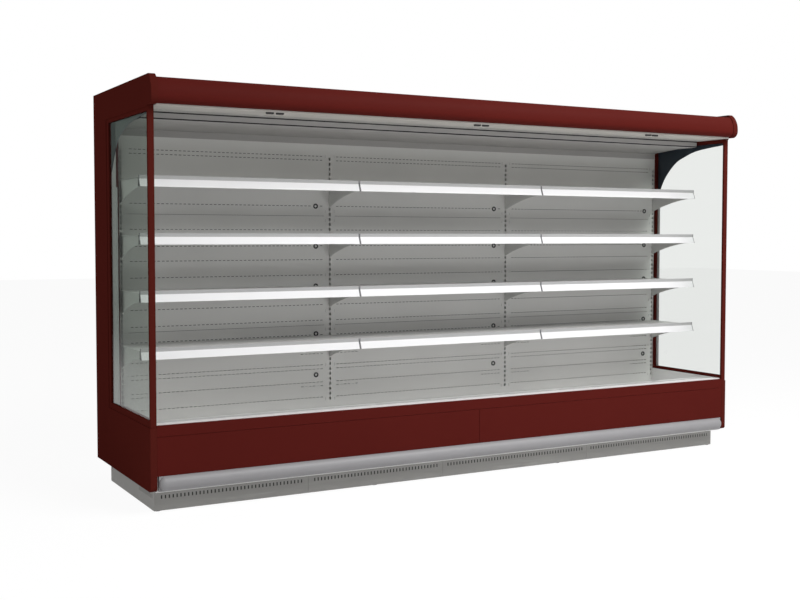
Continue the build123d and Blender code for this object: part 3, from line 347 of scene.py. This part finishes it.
def galvanised(name):
    """Zinc-coated steel, with a spangle of flat patches."""
    n = Nodes(name)
    shader = n.shader(Metallic=1.0)
    cells = n.add("ShaderNodeTexVoronoi")
    cells.inputs["Scale"].default_value = 60.0
    n.link(n.coordinates(), cells.inputs["Vector"])
    tone = n.add("ShaderNodeSeparateColor")
    n.link(cells.outputs["Color"], tone.inputs["Color"])
    patches = n.ramp(tone.outputs["Red"], [(0.0, (0.36, 0.37, 0.38, 1)), (1.0, (0.56, 0.57, 0.58, 1))])
    n.link(patches, shader.inputs["Base Color"])
    n.link(n.spread(tone.outputs["Green"], 0.32, 0.5), shader.inputs["Roughness"])
    return n.material


def brushed(name, colour):
    """Bare aluminium with fine lines along the cabinet."""
    n = Nodes(name)
    shader = n.shader(Metallic=1.0)
    lines = n.noise(220.0, stretch=(0.03, 1.0, 1.0))
    colours = n.ramp(lines, [(0.3, shaded(colour, 0.88)), (0.7, shaded(colour, 1.08))])
    n.link(colours, shader.inputs["Base Color"])
    n.link(n.spread(lines, 0.28, 0.42), shader.inputs["Roughness"])
    n.link(n.bump(lines, strength=0.25, distance=0.00005), shader.inputs["Normal"])
    return n.material


def clear_glass(name, square_colour, slant_colour, mirror_stops):
    """Coated pane: see-through, greener at a slant, with faint smears and a weak mirror face.
    The mirror stops give the mirror's share at heights in metres."""
    n = Nodes(name)
    clear = n.add("ShaderNodeBsdfTransparent")
    slant = n.add("ShaderNodeLayerWeight").outputs["Facing"]
    n.link(n.ramp(slant, [(0.35, square_colour), (0.75, slant_colour)]), clear.inputs["Color"])
    gloss = n.add("ShaderNodeBsdfGlossy")
    n.link(n.spread(n.noise(5.0, detail=5.0), 0.02, 0.09), gloss.inputs["Roughness"])
    fresnel = n.add("ShaderNodeFresnel")
    fresnel.inputs["IOR"].default_value = 1.45
    outward = n.math("SUBTRACT", 1.0, n.add("ShaderNodeNewGeometry").outputs["Backfacing"])
    mirror = n.ramp(n.axis("Z"), [(height, (share, share, share, 1)) for height, share in mirror_stops])
    share = n.math("MULTIPLY", fresnel.outputs["Fac"], n.math("MULTIPLY", outward, mirror))
    mix = n.add("ShaderNodeMixShader")
    n.link(share, mix.inputs["Fac"])
    n.link(clear.outputs["BSDF"], mix.inputs[1])
    n.link(gloss.outputs["BSDF"], mix.inputs[2])
    n.link(mix.outputs["Shader"], n.output.inputs["Surface"])
    return n.material


def make_materials():
    """Every material, by the short name that the nodes and pieces ask for."""
    wall = srgb(236, 236, 233)
    liner = srgb(226, 227, 226)
    # Dark colour standing in for the shade inside the air duct and the panel slots: painted shade.
    duct = srgb(40, 40, 42)
    end_red = srgb(84, 31, 26)
    tape = srgb(190, 192, 190)
    mask = srgb(40, 50, 60)
    mask_back = srgb(84, 94, 92)
    left_foot = MASK_EDGES["left"][-1][1]
    right_foot = MASK_EDGES["right"][-1][1]
    square_glass = (0.905, 0.915, 0.905, 1)
    slant_glass = (0.74, 0.775, 0.75, 1)
    pane_mirror = ((0.5, 0.8), (0.68, 0.6), (0.88, 0.17), (1.0, 0.1))
    return {
        "red": painted("red_enamel", srgb(85, 27, 23), 0.5, gloss_level=0.02),
        "red_left": end_panel_paint("red_enamel_left", end_red, tape, mask_back, mask, left_foot),
        "red_right": end_panel_paint("red_enamel_right", end_red, tape, mask_back, mask, right_foot),
        "grey": painted("grey_powder_coat", srgb(216, 216, 213), 0.5),
        "grey_wall": painted("grey_powder_coat_wall", wall, 0.5),
        "grey_ceiling": painted("grey_powder_coat_ceiling", srgb(182, 180, 178), 0.55),
        "deck": painted("grey_powder_coat_deck", srgb(244, 244, 242), 0.3, gloss_level=0.9),
        # Shelves: the darker second colour is painted shade on their undersides.
        "shelf": shelf_paint_shaded_under("grey_powder_coat_shelf", srgb(224, 224, 221), srgb(118, 115, 119)),
        # Back panels: dark slot walls are painted shade.
        "panel": slotted_paint("grey_powder_coat_panel", wall, duct),
        # Back wall: its duct side is painted shade.
        "back_wall": liner_with_duct_shade("pale_liner_back", liner, duct),
        "tank": painted("white_tank_liner", srgb(246, 246, 245), 0.4),
        "liner": painted("pale_liner", liner, 0.45),
        "white": painted("white_powder_coat", srgb(202, 198, 192), 0.5),
        "plinth": scuffed("grey_plinth_paint", srgb(158, 157, 154), srgb(179, 178, 175), 0.6),
        "bumper": moulded("grey_bumper_vinyl", srgb(147, 146, 148), 0.5, variation=0.02),
        # Ticket strips: the grey second colour is painted shade on the rim faces.
        "strip": ticket_plastic("white_ticket_strip", srgb(232, 232, 233), srgb(172, 172, 172),
                                srgb(96, 96, 98)),
        "black": moulded("black_plastic", srgb(34, 34, 35), 0.45),
        # Black strips along the ceiling's lip stand in for its shadow lines: painted shade.
        "edge": moulded("black_shadow_line_strip", srgb(22, 17, 19), 0.6),
        # Dark sheet behind the plinth's slots: painted shade.
        "shade": moulded("painted_shade_behind_plinth", srgb(38, 37, 37), 0.7),
        "bar": bar_plastic("pale_bar_plastic", srgb(205, 202, 196), srgb(46, 45, 45)),
        "comb": moulded("pale_comb_plastic", srgb(204, 202, 198), 0.5),
        "lamp": moulded("lamp_diffuser", srgb(238, 238, 232), 0.35),
        "glass": clear_glass("clear_pane", square_glass, slant_glass, pane_mirror),
        "zinc": galvanised("galvanised_steel"),
        "coil": brushed("coil_aluminium", (0.68, 0.69, 0.70, 1)),
        "cloth": blind_weave("blind_cloth", srgb(176, 178, 180)),
        "mask": painted("dark_glass_mask", mask, 0.35),
        "mask_back": painted("grey_mask_back", mask_back, 0.5),
        "seal": moulded("pale_glass_seal", srgb(196, 198, 198), 0.6),
    }


# Material of each CAD node, by the start of the node's name; the longest start that fits counts.
NODE_MATERIALS = {
    "base_frame": "zinc",
    "levelling_feet": "black",
    "plinth_plates": "plinth",
    "insulated_tank": "tank",
    "insulated_back_wall": "back_wall",
    "insulated_roof": "liner",
    "front_panels": "red",
    "front_top_rail": "red",
    "bumper_rail": "bumper",
    "canopy_fascia": "red",
    "canopy_soffit": "white",
    "lamp_tubes": "lamp",
    "air_outlet_honeycomb": "comb",
    "air_duct_ceiling": "grey_ceiling",
    "end_panel_left": "red_left",
    "end_panel_right": "red_right",
    "end_glass_panes": "glass",
    "shelf_uprights": "grey_wall",
    "back_panels": "panel",
    "panel_fixings": "black",
    "shelf_brackets": "grey",
    "blind_brackets": "zinc",
    "fan_plate": "zinc",
    "evaporator_coil": "coil",
    "deck_tray": "deck",
    "fan_rotor": "black",
    "blind_roller": "cloth",
    "blind_bar": "bar",
    "shelf": "shelf",
    "ticket_strip": "strip",
}


def dress_nodes(materials):
    """Gives every CAD node its material."""
    for name, node in NODES.items():
        starts = [start for start in NODE_MATERIALS if name.startswith(start)]
        key = NODE_MATERIALS[max(starts, key=len)]
        node.data.materials.clear()
        node.data.materials.append(materials[key])


# ---- Stage --------------------------------------------------------------------------------------
def backdrop_rays(tree):
    """1 for the rays that meet the backdrop as white: camera, mirror-like and see-through ones."""
    rays = tree.nodes.new("ShaderNodeLightPath")
    seen = rays.outputs["Is Camera Ray"]
    for kind in ("Is Glossy Ray", "Is Transmission Ray"):
        either = tree.nodes.new("ShaderNodeMath")
        either.operation = "MAXIMUM"
        tree.links.new(seen, either.inputs[0])
        tree.links.new(rays.outputs[kind], either.inputs[1])
        seen = either.outputs["Value"]
    return seen


def pale_floor(name, colour, glow_level, shadow_share):
    """Floor that reads as white, darkened only where the object shades it."""
    n = Nodes(name)
    diffuse = n.add("ShaderNodeBsdfDiffuse")
    diffuse.inputs["Color"].default_value = colour
    glow = n.add("ShaderNodeEmission")
    glow.inputs["Color"].default_value = (1, 1, 1, 1)
    glow.inputs["Strength"].default_value = glow_level
    share = n.math("MULTIPLY", backdrop_rays(n.tree), 1 - shadow_share)
    mix = n.add("ShaderNodeMixShader")
    n.link(share, mix.inputs["Fac"])
    n.link(diffuse.outputs["BSDF"], mix.inputs[1])
    n.link(glow.outputs["Emission"], mix.inputs[2])
    n.link(mix.outputs["Shader"], n.output.inputs["Surface"])
    return n.material


def make_floor():
    """Large pale floor at height 0."""
    half = 30.0
    corners = [(-half, -half, 0), (half, -half, 0), (half, half, 0), (-half, half, 0)]
    mesh = bpy.data.meshes.new("floor")
    mesh.from_pydata(corners, [], [(0, 1, 2, 3)])
    mesh.materials.append(pale_floor("pale_floor", (0.8, 0.8, 0.8, 1), glow_level=1.06, shadow_share=0.12))
    floor = bpy.data.objects.new("floor", mesh)
    bpy.context.scene.collection.objects.link(floor)


def make_world(strength):
    """Even pale light on the object; white to the camera and to mirror-like rays."""
    world = bpy.data.worlds.new("studio")
    bpy.context.scene.world = world
    world.use_nodes = True
    tree = world.node_tree
    tree.nodes.clear()
    output = tree.nodes.new("ShaderNodeOutputWorld")
    mix = tree.nodes.new("ShaderNodeMixShader")
    tree.links.new(backdrop_rays(tree), mix.inputs["Fac"])
    for place, level in ((1, strength), (2, 1.0)):
        background = tree.nodes.new("ShaderNodeBackground")
        background.inputs["Color"].default_value = (1, 1, 1, 1)
        background.inputs["Strength"].default_value = level
        tree.links.new(background.outputs["Background"], mix.inputs[place])
    tree.links.new(mix.outputs["Shader"], output.inputs["Surface"])


def area_light(name, place, aim, size, power):
    """Soft rectangular lamp, hidden from the camera."""
    data = bpy.data.lights.new(name, "AREA")
    data.shape = "RECTANGLE"
    data.size, data.size_y = size
    data.energy = power
    lamp = bpy.data.objects.new(name, data)
    lamp.location = place
    lamp.rotation_euler = (Vector(aim) - Vector(place)).to_track_quat("-Z", "Y").to_euler()
    lamp.visible_camera = False
    bpy.context.scene.collection.objects.link(lamp)


def make_lights():
    """Key light from above the front right, a fill from the left and a weak one from low in front."""
    make_world(strength=0.25)
    area_light("key", place=(2.0, -4.2, 5.0), aim=(0.0, -0.2, 0.7), size=(5.0, 3.0), power=335)
    area_light("side", place=(-6.5, -1.0, 2.0), aim=(-1.9, 0.0, 1.1), size=(3.0, 2.0), power=46)
    area_light("low", place=(0.7, -3.0, 0.35), aim=(0.3, 0.0, 0.7), size=(4.0, 0.4), power=9)


def make_camera():
    """Camera fitted to the photograph."""
    data = bpy.data.cameras.new("camera")
    data.sensor_width = SENSOR_MM
    data.lens = FOCAL_PIXELS * SENSOR_MM / IMAGE_WIDTH
    data.shift_x = (IMAGE_WIDTH / 2 - PRINCIPAL_X) / IMAGE_WIDTH
    data.shift_y = (PRINCIPAL_Y - IMAGE_HEIGHT / 2) / IMAGE_WIDTH
    camera = bpy.data.objects.new("camera", data)
    yaw = Matrix.Rotation(math.radians(-CAMERA_YAW), 4, "Z")
    pitch = Matrix.Rotation(math.radians(90 + CAMERA_PITCH), 4, "X")
    roll = Matrix.Rotation(math.radians(CAMERA_ROLL), 4, "Z")
    camera.matrix_world = Matrix.Translation(CAMERA_AT) @ yaw @ pitch @ roll
    bpy.context.scene.collection.objects.link(camera)
    bpy.context.scene.camera = camera


# ---- Extra pieces -------------------------------------------------------------------------------
def from_side(depth, height, x):
    """Point of an outline drawn from the side, at a place along the cabinet."""
    return x, FRONT + depth, height


def from_above(x, depth, height):
    """Point of an outline drawn from above, at a height."""
    return x, FRONT + depth, height


def prism(bm, outline, low, high, place):
    """Solid with one outline at two levels; place turns outline and level into a point."""
    rings = [[bm.verts.new(place(a, b, level)) for a, b in outline] for level in (low, high)]
    bm.faces.new(rings[0])
    bm.faces.new(rings[1])
    for i in range(len(outline)):
        j = (i + 1) % len(outline)
        bm.faces.new((rings[0][i], rings[0][j], rings[1][j], rings[1][i]))


def new_piece(name, bm, material, body="cabinet"):
    """Object from a bmesh. It rides on a CAD body, unless body is None, when it is left on its own."""
    mesh = bpy.data.meshes.new(name)
    bmesh.ops.recalc_face_normals(bm, faces=bm.faces)
    bm.to_mesh(mesh)
    bm.free()
    mesh.materials.append(material)
    piece = bpy.data.objects.new(name, mesh)
    bpy.context.scene.collection.objects.link(piece)
    if body:
        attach(piece, body)
    return piece


def between(values, share):
    """Value between the middle two of four, on a smooth curve through all of them."""
    a, b, c, d = values
    return 0.5 * (2 * b + (c - a) * share + (2 * a - 5 * b + 4 * c - d) * share ** 2
                  + (3 * b - a - 3 * c + d) * share ** 3)


def smooth_edge(places, steps):
    """Smooth line of steps + 1 points through the given (depth, height) places."""
    ends = [places[0]] + places + [places[-1]]
    edge = []
    for i in range(steps + 1):
        along = i / steps * (len(places) - 1)
        k = min(int(along), len(places) - 2)
        depths, heights = zip(*ends[k:k + 4])
        edge.append((between(depths, along - k), between(heights, along - k)))
    return edge


def glass_masks(materials):
    """Dark corner mask inside each pane, and its paler back, inset so that a dark line along the curve shows
    as painted shade of the mask's edge.
    """
    steps = 48
    # Width of the dark line along the curve, painted shade of the mask's edge.
    rim = 0.012
    rear = WINDOW_REAR - SKIN_GAP
    head = PANE_HEAD - SKIN_GAP
    for side, name in ((-1, "left"), (1, "right")):
        edge = [(min(depth, rear), height) for depth, height in smooth_edge(MASK_EDGES[name], steps)]
        inset = [(min(depth + 0.7 * rim, rear), height + rim) for depth, height in edge]
        inset = [(depth, height) for depth, height in inset if height < head - 0.001]
        # Each layer's name, outline, distances of its two faces behind the pane, and material.
        layers = (("front", edge, 0.0010, 0.0014, "mask"), ("back", inset, 0.0004, 0.0008, "mask_back"))
        for layer, outline, nearer, farther, key in layers:
            corners = [(rear, head), (outline[0][0], head)]
            outer = side * (PANE_INNER - nearer)
            inner = side * (PANE_INNER - farther)
            bm = bmesh.new()
            prism(bm, outline + corners, inner, outer, from_side)
            new_piece(f"glass_mask_{layer}_{name}", bm, materials[key])


def glass_seals(materials):
    """Pale seal down the rear edge of each window, up to the right mask's foot."""
    width = 0.023
    thickness = 0.002
    chamfer = 0.0012
    top = 1.64
    rear = WINDOW_REAR - SKIN_GAP
    front = rear - width
    for side, name in ((-1, "left"), (1, "right")):
        outer = side * (PANE_INNER - SKIN_GAP)
        inner = side * (PANE_INNER - SKIN_GAP - thickness)
        outline = [(outer, front), (outer, rear), (inner, rear), (inner, front + chamfer)]
        bm = bmesh.new()
        prism(bm, outline, PANE_SILL + SKIN_GAP, top, from_above)
        new_piece(f"glass_seal_{name}", bm, materials["seal"])


def shadow_line_strips(materials):
    """Black strips on the ceiling's front lip, as painted shadow lines: one under the honeycomb and one along
    the bottom.
    """
    face = CEILING_LIP - SKIN_GAP
    thickness = 0.0015
    bead = 0.0065
    nose = face - thickness
    shoulder = face - 0.6 * thickness
    for name, top in (("upper", SOFFIT_BOTTOM - SKIN_GAP), ("lower", CEILING_BOTTOM + bead)):
        bottom = top - bead
        outline = [(face, top), (face, bottom), (shoulder, bottom), (nose, bottom + 0.3 * bead),
                   (nose, top - 0.2 * bead), (shoulder, top)]
        bm = bmesh.new()
        prism(bm, outline, -CEILING_HALF_RUN, CEILING_HALF_RUN, from_side)
        new_piece(f"ceiling_shadow_line_{name}", bm, materials["edge"])


def plinth_shade_sheet(materials):
    """Dark sheet folded round behind the plinth plates' slots, as painted shade there."""
    sheet = 0.0005
    bottom = 0.010
    side = PLINTH_SIDE - SKIN_GAP
    front = PLINTH_BACK + SKIN_GAP
    inner_side = side - sheet
    inner_front = front + sheet
    outline = [(-side, PLINTH_REAR), (-side, front), (side, front), (side, PLINTH_REAR),
               (inner_side, PLINTH_REAR), (inner_side, inner_front), (-inner_side, inner_front),
               (-inner_side, PLINTH_REAR)]
    bm = bmesh.new()
    prism(bm, outline, bottom, FRAME_BOTTOM - SKIN_GAP, from_above)
    new_piece("plinth_shade_sheet", bm, materials["shade"])


def blind_cloths(materials):
    """Drawn-out end of each night blind, from roller to bar."""
    rows = 6
    length = ROLLER_HEIGHT - BAR_TOP
    half = BAY_LENGTH / 2 - BLIND_SIDE_GAP
    for bay, name in enumerate(BAY_NAMES):
        middle = (bay - 1) * BAY_LENGTH
        sides = (middle - half, middle + half)
        heights = [BAR_TOP + length * row / rows for row in range(rows + 1)]
        bm = bmesh.new()
        left, right = [[bm.verts.new(from_side(BLIND_DEPTH, height, x)) for height in heights] for x in sides]
        for low in range(rows):
            bm.faces.new((left[low], right[low], right[low + 1], left[low + 1]))
        piece = new_piece(f"blind_cloth_{name}", bm, materials["cloth"], body=None)
        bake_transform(piece)


def make_pieces(materials):
    """Everything that the scene adds to the CAD nodes."""
    glass_masks(materials)
    glass_seals(materials)
    shadow_line_strips(materials)
    plinth_shade_sheet(materials)
    blind_cloths(materials)


materials = make_materials()
dress_nodes(materials)
make_floor()
make_lights()
make_camera()
make_pieces(materials)

scene = bpy.context.scene
scene.view_settings.view_transform = "Standard"
